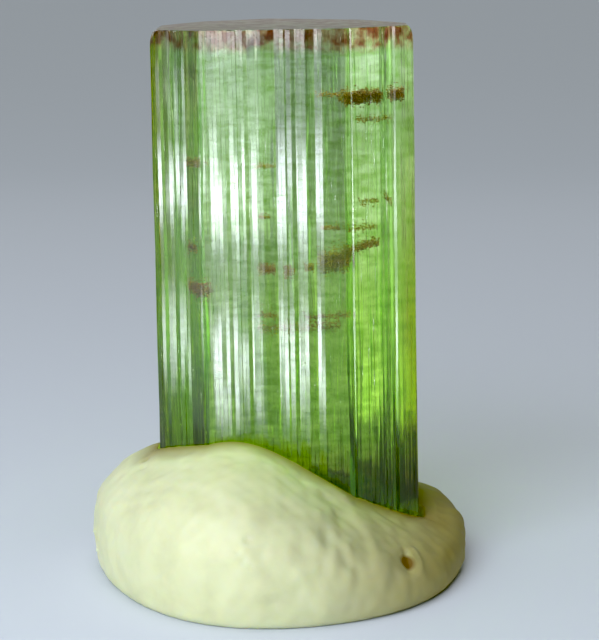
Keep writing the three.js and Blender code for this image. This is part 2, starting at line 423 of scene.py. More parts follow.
SPECK_FACES = np.array(
    [(0, 2, 4), (2, 1, 4), (1, 3, 4), (3, 0, 4), (2, 0, 5), (1, 2, 5), (3, 1, 5), (0, 3, 5)]
)


def front_of(x):
    """How far forward (in y) the front faces are at x."""
    faces = [(direction(azimuth), PRISM_FACES[azimuth]) for azimuth in FRONT_STRIPS]
    return max((distance - out[0] * x) / out[1] for out, distance in faces)


def places_of_specks(cracks):
    for x0, z0, x1, z1, spread, number in cracks:
        for share in rng.uniform(0, 1, round(number * SPECKS_TO_A_COUNT)):
            x, z = x0 + (x1 - x0) * share, z0 + (z1 - z0) * share + rng.normal(0, spread)
            depth = CRACK_DEPTH[0] + rng.exponential(CRACK_DEPTH[1])
            inward = SIDE_SLANT * depth * (int(x < SIDE_FACES[0]) - int(x > SIDE_FACES[1]))
            yield x + inward, front_of(x) + depth, z


def drift_of_specks(cracks):
    places = np.array(list(places_of_specks(cracks)))
    count, sides = len(places), len(SPECK_CORNERS)
    radii = rng.uniform(*SPECK_SIZE, (count, 1, 1)) * rng.uniform(*SPECK_UNEVEN, (count, sides, 1))
    points = places[:, None] + SPECK_CORNERS * radii
    faces = SPECK_FACES + sides * np.arange(count)[:, None, None]
    return points.reshape(-1, 3), faces.reshape(-1, 3).tolist()


cracks = piece("healed_cracks", *drift_of_specks(HEALED_CRACKS))
cracks.data.transform(stand)
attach(cracks, "root")
print("specks:", len(cracks.data.vertices) // len(SPECK_CORNERS))

# %% [markdown]
# ## The putty
# Mineral tack is a soft lump that was rolled and pressed on with the fingers. The CAD solid has its form,
# but in flat facets. It could be sculpted by hand. A voxel remesh gives an even, fine mesh instead, which
# the next steps can push about by formula.

# %% Remesh the putty
PUTTY_GRAIN = 0.065  # mm between mesh points, about seven to a skin ridge
SOFTEN, SOFTEN_ROUNDS = 0.5, 6


def fine_copy(node_name, name):
    source = bpy.data.objects.new(name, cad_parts[node_name].data.copy())
    source.data.transform(Matrix.Scale(1 / MM, 4))
    bpy.context.scene.collection.objects.link(source)
    remesh = source.modifiers.new("Remesh", "REMESH")
    remesh.mode, remesh.voxel_size, remesh.use_smooth_shade = "VOXEL", PUTTY_GRAIN, True
    soften = source.modifiers.new("Soften", "SMOOTH")
    soften.factor, soften.iterations = SOFTEN, SOFTEN_ROUNDS
    shaped = source.evaluated_get(bpy.context.evaluated_depsgraph_get())
    mesh = bpy.data.meshes.new_from_object(shaped)
    source.modifiers.clear()
    source.data = mesh
    source.data.materials.clear()
    return source


def of_each_point(mesh, what):
    values = np.empty(len(mesh.vertices) * 3)
    mesh.vertices.foreach_get(what, values)
    return values.reshape(-1, 3)


putty = fine_copy("putty_lump", "putty")
points = of_each_point(putty.data, "co")
print("putty faces:", len(putty.data.polygons), "box:", points.min(0).round(2), points.max(0).round(2))

# %% [markdown]
# ## The socket
# In the CAD the putty stands clear of the crystal, because solids may not touch. Real putty clings to it.
# The walls of the socket are drawn in towards the crystal, and stop just short of it.

# %% Draw the socket in to the crystal
SOCKET_GAP = 0.1  # mm, in the CAD
CONTACT_GAP = 0.012  # mm, left in the scene
DRAW_REACH = 0.6  # mm beyond the socket's wall, as far as the putty follows


def gap_to_crystal(points):
    """How far each point is from the prism's sides, and the way out of the nearest side."""
    flat = points[:, :2] - axis_foot
    flat[:, 0] += (points[:, 2] - CRYSTAL_FOOT) * math.tan(CRYSTAL_LEAN)
    ways = np.array([direction(azimuth) for azimuth in azimuths])
    away = flat @ ways.T - np.array(list(PRISM_FACES.values()))
    return away.max(1) - flare(points[:, 2] - CRYSTAL_FOOT), ways[away.argmax(1)]


def draw_in(points):
    gap, way = gap_to_crystal(points)
    pull = (SOCKET_GAP - CONTACT_GAP) * np.clip(1 - (gap - SOCKET_GAP) / DRAW_REACH, 0, 1) ** 2
    pull[gap < 0] = 0
    moved = points.copy()
    moved[:, :2] -= way * np.minimum(pull, np.maximum(gap - CONTACT_GAP, 0))[:, None]
    return moved


drawn = draw_in(points)
print("furthest that the putty is drawn in:", np.abs(drawn - points).max().round(3), "mm")
points = drawn

# %% [markdown]
# ## Smooth the facets away
# The facets of the CAD solid would show as kinks in the outline. Each point is moved towards the mean of
# its neighbours many times over, which is what a smooth brush does. The socket and the foot are left as
# they are.

# %% Smooth the putty
SMOOTHING, SMOOTHING_ROUNDS = 0.5, 80
SOCKET_KEPT, SOCKET_BLEND = 0.25, 0.5  # mm from the crystal: not smoothed at all, and then more and more
FOOT_BLEND = 0.35  # mm above the floor


def smoothed(mesh, points, weights):
    ends = np.empty(len(mesh.edges) * 2, dtype=np.int32)
    mesh.edges.foreach_get("vertices", ends)
    one, other = ends.reshape(-1, 2).T
    here, there = np.concatenate([one, other]), np.concatenate([other, one])
    neighbours = np.bincount(here)[:, None]
    for _ in range(SMOOTHING_ROUNDS):
        mean = np.column_stack([np.bincount(here, points[there, i]) for i in range(3)]) / neighbours
        points = points + (mean - points) * weights[:, None]
    return points


gap, _ = gap_to_crystal(points)
off_socket = np.clip((gap - SOCKET_KEPT) / SOCKET_BLEND, 0, 1)
off_floor = np.clip(points[:, 2] / FOOT_BLEND, 0, 1)
points = smoothed(putty.data, points, SMOOTHING * off_socket * off_floor)
putty.data.vertices.foreach_set("co", points.ravel())
putty.data.update()
normals = of_each_point(putty.data, "normal")
print("putty box after smoothing:", points.min(0).round(2), points.max(0).round(2))

# %% [markdown]
# ## Finger prints
# Skin ridges lie about half a millimetre apart. A print could be an image, but a few formulas do as well.
# Each one is a set of nested rings round a centre, warped a little by slow waves so that they are not
# perfect circles, and it fades out where the finger lifted off.

# %% Prints
RIDGE_SPACING = 0.47  # mm
PRINTS = [
    # centre of the rings, middle of the print, radius of the print, height of a ridge; mm
    ((-0.98, -4.77, 1.84), (1.75, -3.8, 1.5), 1.5, 0.03),
    ((-0.98, -4.77, 1.84), (-0.6, -3.6, 2.6), 2.0, 0.012),
    ((-7.2, -11.8, -1.6), (-3.1, -2.0, 2.8), 2.2, 0.02),
    ((0.4, 4.9, 1.0), (0.6, 4.6, 1.2), 3.4, 0.035),
    ((-4.9, 1.6, 1.2), (-4.6, 1.2, 1.4), 2.2, 0.03),
    ((4.2, 4.6, 2.4), (4.4, 1.2, 1.0), 2.2, 0.03),
]
RING_SQUASH = (1, 0.8, 1)
PRINT_EDGE = 1.6  # how steeply a print fades out
PATCH_SIZE, PATCH_MEAN, PATCH_SWING, PATCH_MOST = 1.3, 0.75, 0.35, 1.2  # uneven pressure
WAVES, WAVE_SPREAD = 14, (0.6, 1.5)


def slow_mottle(points, size):
    """A smooth random field: the sum of a few plane waves that are about size mm long."""
    ways = rng.normal(0, 1, (WAVES, 3))
    pace = 2 * math.pi / size * rng.uniform(*WAVE_SPREAD, (WAVES, 1))
    ways *= pace / np.linalg.norm(ways, axis=1, keepdims=True)
    return np.sin(points @ ways.T + rng.uniform(0, 2 * math.pi, WAVES)).sum(1) / math.sqrt(WAVES / 2)


def distance_to(points, place):
    return np.linalg.norm(points - np.array(place), axis=1)


def print_relief(points, warp):
    relief = 0
    for rings, middle, radius, height in PRINTS:
        away = np.linalg.norm((points - np.array(rings)) * RING_SQUASH, axis=1) + warp
        fade = np.clip(PRINT_EDGE * (1 - distance_to(points, middle) / radius), 0, 1)
        patchy = np.clip(PATCH_MEAN + PATCH_SWING * slow_mottle(points, PATCH_SIZE), 0, PATCH_MOST)
        relief = relief + height * fade * patchy * (np.cos(2 * math.pi * away / RIDGE_SPACING) - 1) / 2
    return relief


print("prints:", len(PRINTS))

# %% [markdown]
# ## Dents and creases
# The dents, the crease, the nubs, the rim of the pit and the full right end are soft round pushes at
# places read from the photograph. One push is a bell-shaped bump or hollow. A row of them along a curve
# makes a crease.

# %% Pushes
PUSHES = [
    # place, radius, height (negative for a dent); mm
    ((1.14, -2.28, 2.45), 0.22, -0.06), ((1.24, -3.92, 1.99), 0.26, -0.07),
    ((1.65, -4.29, 1.46), 0.15, -0.07),
    ((0.63, -4.52, 1.9), 0.2, -0.03), ((-0.07, -4.91, 0.71), 0.3, -0.03), ((2.19, -4.28, 0.77), 0.3, -0.06),
    ((0.51, -2.06, 2.86), 0.25, -0.05), ((0.95, -2.15, 2.59), 0.2, 0.04),
    ((1.47, -2.83, 2.17), 0.22, -0.05),
    ((1.57, -3.91, 1.79), 0.2, 0.04), ((0.9, -3.3, 2.35), 0.2, 0.04), ((0.3, -3.6, 2.5), 0.25, -0.03),
    ((-3.32, -0.6, 3.07), 0.1, -0.08), ((-3.34, -0.9, 3.0), 0.1, -0.09), ((-3.36, -1.3, 2.92), 0.1, -0.06),
    ((-0.71, -4.62, 2.15), 0.08, -0.03), ((-0.94, -4.74, 1.91), 0.08, -0.03),
    ((-0.8, -4.85, 1.7), 0.08, -0.03), ((-0.64, -4.88, 1.57), 0.08, -0.03),
    ((-4.65, -0.78, 1.08), 0.09, 0.06), ((-4.61, -0.82, 0.57), 0.09, 0.07),
    ((4.6, 0.2, 1.1), 1.2, 0.09), ((4.0, 1.9, 1.5), 1.2, 0.2),
]
CURVED_PUSHES = [
    # three places that a curve passes, number of pushes along it, radius and height of each
    ((3.08, -2.82, 1.28), (3.13, -3.1, 1.12), (3.16, -3.34, 0.99), 6, 0.1, -0.07),
    ((3.28, -2.6, 1.26), (3.46, -2.97, 1.0), (3.33, -3.42, 0.79), 10, 0.075, 0.04),
    ((1.35, -1.45, 2.45), (2.3, -3.2, 1.6), (2.29, -4.22, 0.82), 12, 0.24, 0.035),
    ((2.5, -1.8, 1.8), (2.8, -2.7, 1.45), (2.86, -3.3, 1.1), 8, 0.16, 0.018),
]


def along_curve(start, middle, end, count):
    share = np.linspace(0, 1, count)[:, None]
    pull = 2 * middle - (start + end) / 2
    return (1 - share) ** 2 * start + 2 * share * (1 - share) * pull + share**2 * end


def push_relief(points):
    curved = [(p, r, h) for *ends, n, r, h in CURVED_PUSHES for p in along_curve(*map(np.array, ends), n)]
    bumps = [h * np.exp(-((distance_to(points, place) / r) ** 2)) for place, r, h in PUSHES + curved]
    return np.sum(bumps, axis=0)


print("single pushes:", len(PUSHES), "curves of pushes:", len(CURVED_PUSHES))

# %% [markdown]
# ## Press the relief in
# The prints, the pushes and a faint unevenness are added up, and each point moves by the sum along its
# normal. The relief fades out at the socket and at the foot, so that the putty still meets the crystal
# and lies flat. Where the lip faces up beside the crystal, a painted shade darkens it along the contact,
# and that is stored as an attribute too.

# %% Press the putty
UNEVENNESS = ((0.014, 1.1), (0.006, 0.5))  # height and size in mm
RING_WARP = (0.09, 2.5)  # how far the rings stray and over what length, mm
RELIEF_START, RELIEF_BLEND, RELIEF_FOOT = 0.1, 0.3, 0.3  # mm from the crystal, and above the floor
LIP_SHADE_REACH = 0.75  # mm from the crystal, as far as the painted shade reaches
LIP_FACING = 1.5  # over 1, so that slopes are stained too
LIP_INSIDE = -0.05  # mm; points deeper in the socket are not stained

relief = sum(height * slow_mottle(points, size) for height, size in UNEVENNESS)
warp = RING_WARP[0] * slow_mottle(points, RING_WARP[1])
relief = relief + print_relief(points, warp) + push_relief(points)
gap, _ = gap_to_crystal(points)
outside = np.clip((gap - RELIEF_START) / RELIEF_BLEND, 0, 1) * np.clip(points[:, 2] / RELIEF_FOOT, 0, 1)
points = points + normals * (relief * outside)[:, None]

# Painted shade along the contact with the crystal, on faces that look up.
gap, _ = gap_to_crystal(points)
facing_up = np.clip(LIP_FACING * normals[:, 2], 0, 1)
lip = facing_up * (gap > LIP_INSIDE) * np.clip(1 - gap / LIP_SHADE_REACH, 0, 1)
putty.data.attributes.new("painted_lip_shade", "FLOAT", "POINT").data.foreach_set("value", lip)
putty.data.vertices.foreach_set("co", (points * MM).ravel())
putty.data.update()
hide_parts("putty_lump")
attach(putty, "root")
print("putty box after pressing:", points.min(0).round(2), points.max(0).round(2))

# %% [markdown]
# ## Helpers for the finishes
# Colours are written as sRGB hex, as a paint program shows them, and one function turns them into the
# linear numbers that Blender counts in. Another adds a node with its settings and links, so that a finish
# reads as a list.

# %% Colour and node helpers
def srgb(hex_code):
    values = [int(hex_code[i : i + 2], 16) / 255 for i in (1, 3, 5)]
    linear = [v / 12.92 if v <= 0.04045 else ((v + 0.055) / 1.055) ** 2.4 for v in values]
    return (*linear, 1.0)


def node(tree, kind, inputs=None, **settings):
    made = tree.nodes.new(kind)
    for name, value in settings.items():
        setattr(made, name, value)
    for name, value in (inputs or {}).items():
        if isinstance(value, bpy.types.NodeSocket):
            tree.links.new(value, made.inputs[name])
        else:
            made.inputs[name].default_value = value
    return made


def paint_ramp(ramp, stops):
    ramp.elements[0].position, ramp.elements[-1].position = stops[0][0], stops[-1][0]
    for position, _ in stops[1:-1]:
        ramp.elements.new(position)
    for element, (_, colour) in zip(ramp.elements, stops):
        element.color = srgb(colour)


def new_material(name):
    material = bpy.data.materials.new(name)
    material.use_nodes = True
    material.node_tree.nodes.clear()
    return material, material.node_tree


print("mid grey #808080 in linear light:", round(srgb("#808080")[0], 3))

# %% [markdown]
# ## Tourmaline: clear green crystal with natural faces
# A crystal like this grows in a cavity in rock, and its faces are as they grew, never cut or polished. To
# the eye that gives clear green depth, bright glints on the side faces and a duller top. The colour
# changes along it in zones. Absorption is one value for the whole crystal, so the zones are a tint on the
# surface, from brown at the foot through yellow-green to almost none at the top. The brown at the foot is
# partly painted shade, where the crystal stands in the putty. A cloudy noise makes the bounds uneven.

# %% Colour zones
CRYSTAL_TOP = 13.65  # mm above the floor
# The brownest stops near the foot are partly painted shade, where the putty closes round the crystal.
ZONES_AND_FOOT_SHADE = [
    (0.9, "#745C16"), (1.6, "#A8942A"), (2.2, "#C2C042"), (2.8, "#D6F05C"), (3.8, "#DAFC74"),
    (5.0, "#E0FD7C"),
    (6.6, "#ECFF98"), (9.5, "#F7FFDC"), (13.2, "#FBFFFB"),
]  # mm above the floor, and colour
CLOUD_SIZE, CLOUD_RISE = 0.5, 0.4  # mm: size of the clouds, and the most by which they lift a bound
MEAN_RISE = CLOUD_RISE / 2

tourmaline, tree = new_material("clear_green_tourmaline")
place = node(tree, "ShaderNodeTexCoord").outputs["Object"]
height = node(tree, "ShaderNodeSeparateXYZ", {"Vector": place})
cloud = node(tree, "ShaderNodeTexNoise", {"Vector": place, "Scale": 1 / (CLOUD_SIZE * MM), "Detail": 3.0})
uneven = node(
    tree, "ShaderNodeMath",
    {0: cloud.outputs["Fac"], 1: CLOUD_RISE * MM, 2: height.outputs["Z"]},
    operation="MULTIPLY_ADD",
).outputs["Value"]
zone = node(
    tree, "ShaderNodeMapRange",
    {"Value": uneven, "From Min": MEAN_RISE * MM, "From Max": (CRYSTAL_TOP + MEAN_RISE) * MM},
)
zones = node(tree, "ShaderNodeValToRGB", {"Fac": zone.outputs["Result"]})
paint_ramp(zones.color_ramp, [(z / CRYSTAL_TOP, colour) for z, colour in ZONES_AND_FOOT_SHADE])
print("colour zones along the crystal:", len(ZONES_AND_FOOT_SHADE))

# %% [markdown]
# ## Growth layers, pink cap, painted edge shade and staining
# Faint clouds lie across the crystal, flatter than they are wide. The last thin layer at the top grew
# pink, in patches. Both are noises with sizes in real millimetres. The brown from the attribute multiplies
# the colour, as a thin film darkens what lies under it: painted shade on the side edges, and real staining
# on one strip.

# %% Layers, cap, painted edge shade and staining
GROWTH_LAYER = (0.55, 0.55, 0.17)  # mm
CAP_PATCH = 0.28  # mm
CAP_START = (13.02, 13.2)  # mm above the floor, where green turns to pink
cap_low, cap_high = ((z + MEAN_RISE) * MM for z in CAP_START)

across = node(tree, "ShaderNodeMapping", {"Vector": place, "Scale": [1 / (v * MM) for v in GROWTH_LAYER]})
layers = node(tree, "ShaderNodeTexNoise", {"Vector": across.outputs["Vector"], "Scale": 1.0, "Detail": 4.0})
faint = node(tree, "ShaderNodeValToRGB", {"Fac": layers.outputs["Fac"]})
paint_ramp(faint.color_ramp, [(0.35, "#B4CC8C"), (0.62, "#FFFFFF")])
layered = node(
    tree, "ShaderNodeMix",
    {"Factor": 1.0, "A": zones.outputs["Color"], "B": faint.outputs["Color"]},
    data_type="RGBA", blend_type="MULTIPLY",
)
patches = node(tree, "ShaderNodeTexNoise", {"Vector": place, "Scale": 1 / (CAP_PATCH * MM)})
pinks = node(tree, "ShaderNodeValToRGB", {"Fac": patches.outputs["Fac"]})
paint_ramp(pinks.color_ramp, [(0.39, "#8E2C2A"), (0.5, "#CC8078"), (0.62, "#FFE0DC")])
cap = node(tree, "ShaderNodeMapRange", {"Value": uneven, "From Min": cap_low, "From Max": cap_high})
capped = node(
    tree, "ShaderNodeMix",
    {"Factor": cap.outputs["Result"], "A": layered.outputs["Result"], "B": pinks.outputs["Color"]},
    data_type="RGBA",
)
# Brown multiplied in by the attribute: painted shade on the side edges, staining on one strip.
edge = node(tree, "ShaderNodeAttribute", attribute_name="edge_shade_and_stain")
shaded_and_stained = node(
    tree, "ShaderNodeMix",
    {"Factor": edge.outputs["Fac"], "A": capped.outputs["Result"], "B": srgb("#D8AC18")},
    data_type="RGBA", blend_type="MULTIPLY",
)
print("pink cap from", CAP_START, "mm; nodes so far:", len(tree.nodes))

# %% [markdown]
# ## The crystal's surface and inside
# Tourmaline's IOR is about 1.63. Full transmission makes it see-through, and the volume absorbs light
# along its way, so thick parts are a deeper green than thin ones. The sides are nearly smooth. Faces that
# look up are rougher, because the end of the crystal is lightly etched.

# %% Crystal shader
TOURMALINE_IOR = 1.63
SIDE_ROUGHNESS, TOP_ROUGHNESS = 0.08, 0.35
facing = node(tree, "ShaderNodeNewGeometry")
upward = node(tree, "ShaderNodeSeparateXYZ", {"Vector": facing.outputs["Normal"]})
etched = node(
    tree, "ShaderNodeMapRange",
    {
        "Value": upward.outputs["Z"], "From Min": 0.8, "From Max": 0.95,
        "To Min": SIDE_ROUGHNESS, "To Max": TOP_ROUGHNESS,
    },
)
gem = node(
    tree, "ShaderNodeBsdfPrincipled",
    {
        "Base Color": shaded_and_stained.outputs["Result"],
        "Roughness": etched.outputs["Result"],
        "IOR": TOURMALINE_IOR,
        "Transmission Weight": 1.0,
    },
)
inside = node(tree, "ShaderNodeVolumeAbsorption", {"Color": srgb("#C6E5AD"), "Density": 300.0})
node(
    tree, "ShaderNodeOutputMaterial",
    {"Surface": gem.outputs["BSDF"], "Volume": inside.outputs["Volume"]},
)
crystal.data.materials.append(tourmaline)
print(tourmaline.name, "has", len(tree.nodes), "nodes")

# %% [markdown]
# ## Brown film in the healed cracks
# The film is most likely clay stained by iron, left when the crack grew shut. To the eye it is dull and
# dark, and goes from olive to rust brown. A rough surface with a slow noise between three browns is
# enough for such small grains.

# %% Film shader
FILM_PATCH = 1.2  # mm
film, tree = new_material("brown_crack_film")
place = node(tree, "ShaderNodeTexCoord").outputs["Object"]
patches = node(tree, "ShaderNodeTexNoise", {"Vector": place, "Scale": 1 / (FILM_PATCH * MM)})
hue = node(tree, "ShaderNodeValToRGB", {"Fac": patches.outputs["Fac"]})
paint_ramp(hue.color_ramp, [(0.35, "#8E8A20"), (0.55, "#86701C"), (0.7, "#7E441A")])
dull = node(
    tree, "ShaderNodeBsdfPrincipled", {"Base Color": hue.outputs["Color"], "Roughness": 0.6, "IOR": 1.5}
)
node(tree, "ShaderNodeOutputMaterial", {"Surface": dull.outputs["BSDF"]})
cracks.data.materials.append(film)
print(film.name, "has", len(tree.nodes), "nodes")

# %% [markdown]
# ## Putty: chalk in a rubbery binder, pressed by hand
# Mineral tack is chalk kneaded into a soft binder. Pressing leaves it matt and a little greasy. To the
# eye it is a soft cream that light sinks into slightly. The colours are laid over each other: the cream,
# then painted shade: yellow-tan towards the right, where the lump turns from the light and lies in
# shadow, brown in the pit, and olive on the lip beside the crystal.

# %% Putty colour
GRIME_SIZE = 0.9  # mm
RIGHT_SHADE_SPAN = (0.6, 4.2)  # mm to the right of the middle: where the painted shade starts, and where it is full
PIT = (3.05, -3.04, 1.0)  # mm
PIT_SHADE_SPAN = (0.16, 0.27)  # mm from the middle of the pit: full painted shade, and none

tack, tree = new_material("pressed_putty")
place = node(tree, "ShaderNodeTexCoord").outputs["Object"]
grime = node(tree, "ShaderNodeTexNoise", {"Vector": place, "Scale": 1 / (GRIME_SIZE * MM), "Detail": 4.0})
cream = node(tree, "ShaderNodeValToRGB", {"Fac": grime.outputs["Fac"]})
paint_ramp(cream.color_ramp, [(0.25, "#DCDDAC"), (0.5, "#E6E8B6"), (0.75, "#EAECBE")])
side = node(tree, "ShaderNodeSeparateXYZ", {"Vector": place})
painted_right_shade = node(
    tree, "ShaderNodeMapRange",
    {"Value": side.outputs["X"], "From Min": RIGHT_SHADE_SPAN[0] * MM, "From Max": RIGHT_SHADE_SPAN[1] * MM},
)
# Brown painted into the pit as shade, darkest at its middle.
inner = node(tree, "ShaderNodeVectorMath", {0: place, 1: [v * MM for v in PIT]}, operation="DISTANCE")
painted_pit_shade = node(
    tree, "ShaderNodeMapRange",
    {
        "Value": inner.outputs["Value"], "From Min": PIT_SHADE_SPAN[0] * MM, "From Max": PIT_SHADE_SPAN[1] * MM,
        "To Min": 1.0, "To Max": 0.0,
    },
)
painted_lip_shade = node(tree, "ShaderNodeAttribute", attribute_name="painted_lip_shade")
colour = cream.outputs["Color"]
# Painted shade over the cream: yellow-tan on the shaded right, brown in the pit, olive along the lip.
for amount, over in (
    (painted_right_shade.outputs["Result"], "#AD9E5A"),
    (painted_pit_shade.outputs["Result"], "#7A5A1C"),
    (painted_lip_shade.outputs["Fac"], "#84702E"),
):
    mixed = node(tree, "ShaderNodeMix", {"Factor": amount, "A": colour, "B": srgb(over)}, data_type="RGBA")
    colour = mixed.outputs["Result"]
print("putty colour mixed with", len(tree.nodes), "nodes")

# %% [markdown]
# ## The putty's surface
# A roughness of about 0.6 is typical of a matt surface. Subsurface scattering lets light spread by a
# fraction of a millimetre, red furthest, which softens the dents as it does in the real lump.

# %% Putty shader
LIGHT_SPREAD = 0.4  # mm
matt = node(
    tree, "ShaderNodeBsdfPrincipled",
    {
        "Base Color": colour,
        "Roughness": 0.62,
        "IOR": 1.5,
        "Subsurface Weight": 0.7,
        "Subsurface Radius": (1.0, 0.8, 0.4),
        "Subsurface Scale": LIGHT_SPREAD * MM,
    },
)
node(tree, "ShaderNodeOutputMaterial", {"Surface": matt.outputs["BSDF"]})
putty.data.materials.append(tack)
print(tack.name, "has", len(tree.nodes), "nodes")

# %% [markdown]
# ## Floor
# The floor is one plain pale sheet of paper, so large that its edge is out of sight. A curved backdrop
# would do as well, but a flat sheet also serves every other view.

# %% Lay the floor
FLOOR_SIZE = 4000  # mm from the middle to each side
floor = piece(
    "floor",
    [(x * FLOOR_SIZE * MM, y * FLOOR_SIZE * MM, 0) for x, y in ((-1, -1), (1, -1), (1, 1), (-1, 1))],
    [(0, 1, 2, 3)],
)
sheet, tree = new_material("pale_floor")
paper = node(tree, "ShaderNodeBsdfPrincipled", {"Base Color": srgb("#C0C6CE"), "Roughness": 0.8})
node(tree, "ShaderNodeOutputMaterial", {"Surface": paper.outputs["BSDF"]})
floor.data.materials.append(sheet)
print("floor is", 2 * FLOOR_SIZE * MM, "m across")

# %% [markdown]
# ## Light panels
# The panels give soft light that is white or nearly white, as in a small studio. A panel can be limited
# to the rays that matter for it: diffuse rays light the putty, glossy rays make the glints on the faces,
# and transmission rays are those that have passed into the crystal. A soft panel fades out towards its
# edges, and a graded one changes in brightness along its height.

# %% Panel helpers
EVERYWHERE, REFLECTED, THROUGH = ("diffuse", "glossy", "transmission"), ("glossy",), ("transmission",)
SOFT_FADE = (0.05, 0.5)  # shares of the panel's width from its middle: full light, and none
DAYLIGHT = "#F0F4FF"


def shade_panel(light, soft, grades):
    light.use_nodes = True
    tree = light.node_tree
    tree.nodes.clear()
    spot = node(tree, "ShaderNodeNewGeometry").outputs["Parametric"]
    off = node(tree, "ShaderNodeVectorMath", {0: spot, 1: (0.5, 0.5, 0.0)}, operation="DISTANCE")
    fall = node(
        tree, "ShaderNodeMapRange",
        {
            "Value": off.outputs["Value"], "From Min": SOFT_FADE[0], "From Max": SOFT_FADE[1],
            "To Min": 1.0, "To Max": 0.0,
        },
        interpolation_type="SMOOTHSTEP",
    )
    glow = node(tree, "ShaderNodeEmission", {"Strength": fall.outputs["Result"] if soft else 1.0})
    if grades:
        up = node(tree, "ShaderNodeSeparateXYZ", {"Vector": spot})
        ramp = node(tree, "ShaderNodeValToRGB", {"Fac": up.outputs["Y"]})
        paint_ramp(ramp.color_ramp, grades)
        tree.links.new(ramp.outputs["Color"], glow.inputs["Color"])
    node(tree, "ShaderNodeOutputLight", {"Surface": glow.outputs["Emission"]})


def panel(name, at, aim, size, radiance, colour="#FFFFFF", seen_by=EVERYWHERE, soft=False, grades=None):
    light = bpy.data.lights.new(name, "AREA")
    light.shape, light.size, light.size_y = "RECTANGLE", size[0] * MM, size[1] * MM
    light.energy = radiance * light.size * light.size_y * math.pi
    light.color = srgb(colour)[:3]
    if soft or grades:
        shade_panel(light, soft, grades)
    made = bpy.data.objects.new(name, light)
    made.location = Vector(at) * MM
    made.rotation_euler = (Vector(aim) - Vector(at)).to_track_quat("-Z", "Y").to_euler()
    made.visible_camera = False
    made.visible_diffuse = "diffuse" in seen_by
    made.visible_glossy = "glossy" in seen_by
    made.visible_transmission = "transmission" in seen_by
    bpy.context.scene.collection.objects.link(made)
    print(name, "gives", round(light.energy * 1000, 3), "mW")
    return made


def beside(x, y, z):
    """A place in mm, given from the crystal's axis and from the floor."""
    return (axis_foot[0] + x, axis_foot[1] + y, z)


# %% [markdown]
# ## Softbox and glint cards
# One big softbox at the front left lights everything. The streaks on the striations are mirror images of
# something bright, and a softbox alone would fill the whole face. So small white cards stand close by
# where the leaning steps look, low and high, and only reflections see them.

# %% Softbox and glints
FACE_SPOT, SIDE_SPOT = (-0.5, -PRISM_FACES[FRONT]), (-2.5, -2)  # what the cards face, mm from the axis

panel("softbox_left", (-28, -52, 48), (0, 0, 3), (60, 48), 5.95, "#EAF0FF")
for name, z, tall, radiance in (("low", 3.3, 4.9, 15), ("high", 8.3, 5.4, 16)):
    panel(
        f"glint_{name}", beside(-3.5, -12.4, z), beside(*FACE_SPOT, z), (2.8, tall), radiance, DAYLIGHT,
        seen_by=REFLECTED, soft=True,
    )
for name, z, tall, radiance in (("low", 3.7, 4.6, 9.5), ("high", 8.4, 3.8, 20)):
    panel(
        f"side_glint_{name}", beside(-7.5, -12, z), beside(*SIDE_SPOT, z), (4.6, tall), radiance, DAYLIGHT,
        seen_by=REFLECTED, soft=True,
    )
panel(
    "side_glow", beside(-7.9, -11.8, 11.4), beside(*SIDE_SPOT, 11.4), (1.9, 4.4), 5.0, DAYLIGHT,
    seen_by=REFLECTED, soft=True,
)

# %% [markdown]
# ## Veils
# A clear crystal also mirrors the pale room round it, as a faint grey veil over the green. Large dim
# cards at the front and the sides give that, and one behind gives the sheen on the flat top. The front
# card is brighter in its upper third, for the cap.

# %% Veil cards
VEIL_GRADES = [(0.0, "#7E8288"), (0.645, "#7E8288"), (0.66, "#E8E8E8"), (1.0, "#E8E8E8")]
SIDE_VEIL_GRADES = [
    (0.0, "#000000"), (0.33, "#000000"), (0.38, "#D8E0D8"), (0.5, "#FFFFF4"), (1.0, "#FFFFE8"),
]

panel(
    "veil", beside(-4.6, -14.2, 8.5), beside(*FACE_SPOT, 8.5), (11, 26), 11.0,
    seen_by=REFLECTED, soft=True, grades=VEIL_GRADES,
)
panel(
    "side_veil", beside(14.3, -8.8, 8), beside(2.2, -1.8, 8), (10, 40), 0.75,
    seen_by=REFLECTED, soft=True, grades=SIDE_VEIL_GRADES,
)
panel(
    "left_veil", beside(-14.3, -8.8, 7), beside(-2.2, -1.8, 7), (10, 40), 0.8, "#DCF0FF",
    seen_by=REFLECTED, soft=True,
)
panel("sky_behind", (0, 60, 42), (0, 0, 10), (140, 60), 0.5, "#FFFAFA", seen_by=REFLECTED)

# %% [markdown]
# ## Bounce cards
# A clear gem looks dark unless there is something bright behind it, so white cards are set there. They
# are seen only through the crystal. The nearest is graded, so that the clear windows are lighter and
# darker along their height as in the photograph.

# %% Cards seen through the crystal
BEHIND_GRADES = [
    (0.0, "#FBFBFB"), (0.13, "#FBFBFB"), (0.19, "#B5B5B5"), (0.45, "#B3B3B3"), (0.5, "#C8C8C8"),
    (0.6, "#C8C8C8"), (0.67, "#AEAEAE"), (0.75, "#AEAEAE"), (0.8, "#E4E4E4"), (0.85, "#E4E4E4"),
    (0.9, "#D4D4D4"), (0.95, "#A4A4A4"),
]
WARM_CARD = "#FFFBF4"

panel(
    "bounce_behind", beside(-7.2, 6.6, 6.95), beside(-0.4, 2.2, 6.95), (10, 13.3), 1.0,
    seen_by=THROUGH, grades=BEHIND_GRADES,
)
panel("bounce_left", beside(-17, -9, 8), beside(0, 0, 8), (24, 22), 1.1, WARM_CARD, seen_by=THROUGH)
panel("bounce_high", beside(-17, -9, 14), beside(0, 0, 12), (24, 9), 1.5, "#F4F4FF", seen_by=THROUGH)
panel("glow_behind", beside(25, 45, 4.8), beside(0, 0, 4.8), (46, 9.6), 0.52, "#F4FAFF", seen_by=THROUGH)
panel("bounce_front", beside(5, -15, 6), beside(1, 0, 6), (12, 20), 1.6, WARM_CARD, seen_by=THROUGH)

